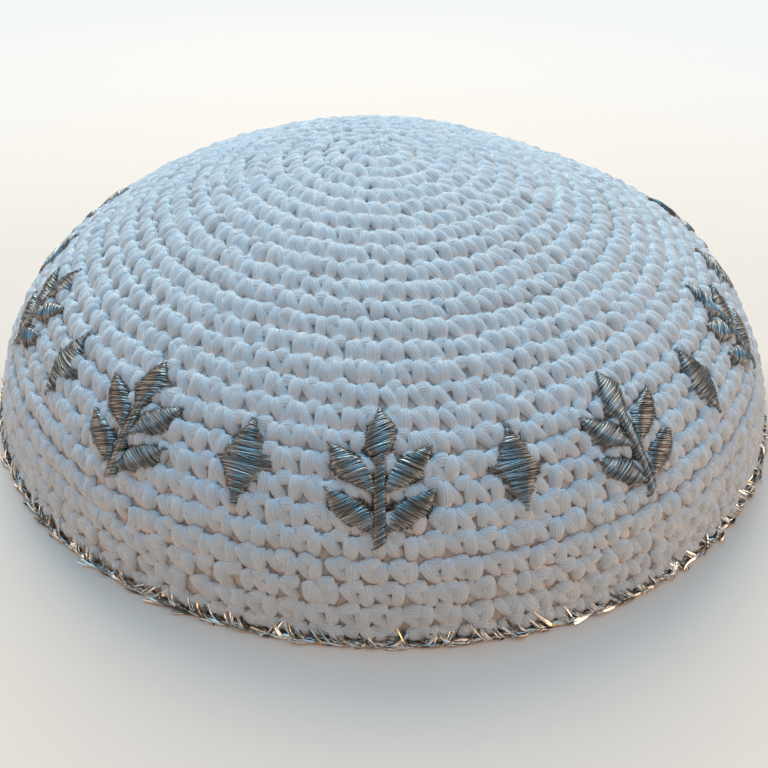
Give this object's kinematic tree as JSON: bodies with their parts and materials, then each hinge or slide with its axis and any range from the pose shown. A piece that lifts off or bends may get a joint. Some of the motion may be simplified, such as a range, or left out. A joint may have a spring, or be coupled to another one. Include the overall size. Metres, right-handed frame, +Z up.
{
  "type": "kippah skullcap",
  "caption": "White cotton kippah skullcap crocheted in rounds as a deep dome, with a silver thread edging at the rim and a silver embroidered band of sprigs and lozenges.",
  "frame": {"origin": "on the surface that the rim rests on, under the middle of the cap", "axes": "+Z up from the rim to the top, -Y out of the front of the band, +X to the right seen from the front"},
  "size_m": [0.1786, 0.1786, 0.0539],
  "materials": {
    "cotton_yarn": "matt crocheted cotton yarn",
    "silver_thread": "shiny metallised thread"
  },
  "bodies": {
    "root": {"crown": "cotton_yarn", "rim_edging": "silver_thread", "sprig_01": "silver_thread", "lozenge_01": "silver_thread", "sprig_02": "silver_thread", "lozenge_02": "silver_thread", "sprig_03": "silver_thread", "lozenge_03": "silver_thread", "sprig_04": "silver_thread", "lozenge_04": "silver_thread", "sprig_05": "silver_thread", "lozenge_05": "silver_thread", "sprig_06": "silver_thread", "lozenge_06": "silver_thread", "sprig_07": "silver_thread", "lozenge_07": "silver_thread", "sprig_08": "silver_thread", "lozenge_08": "silver_thread", "sprig_09": "silver_thread", "lozenge_09": "silver_thread", "sprig_10": "silver_thread", "lozenge_10": "silver_thread"}
  },
  "joints": []
}
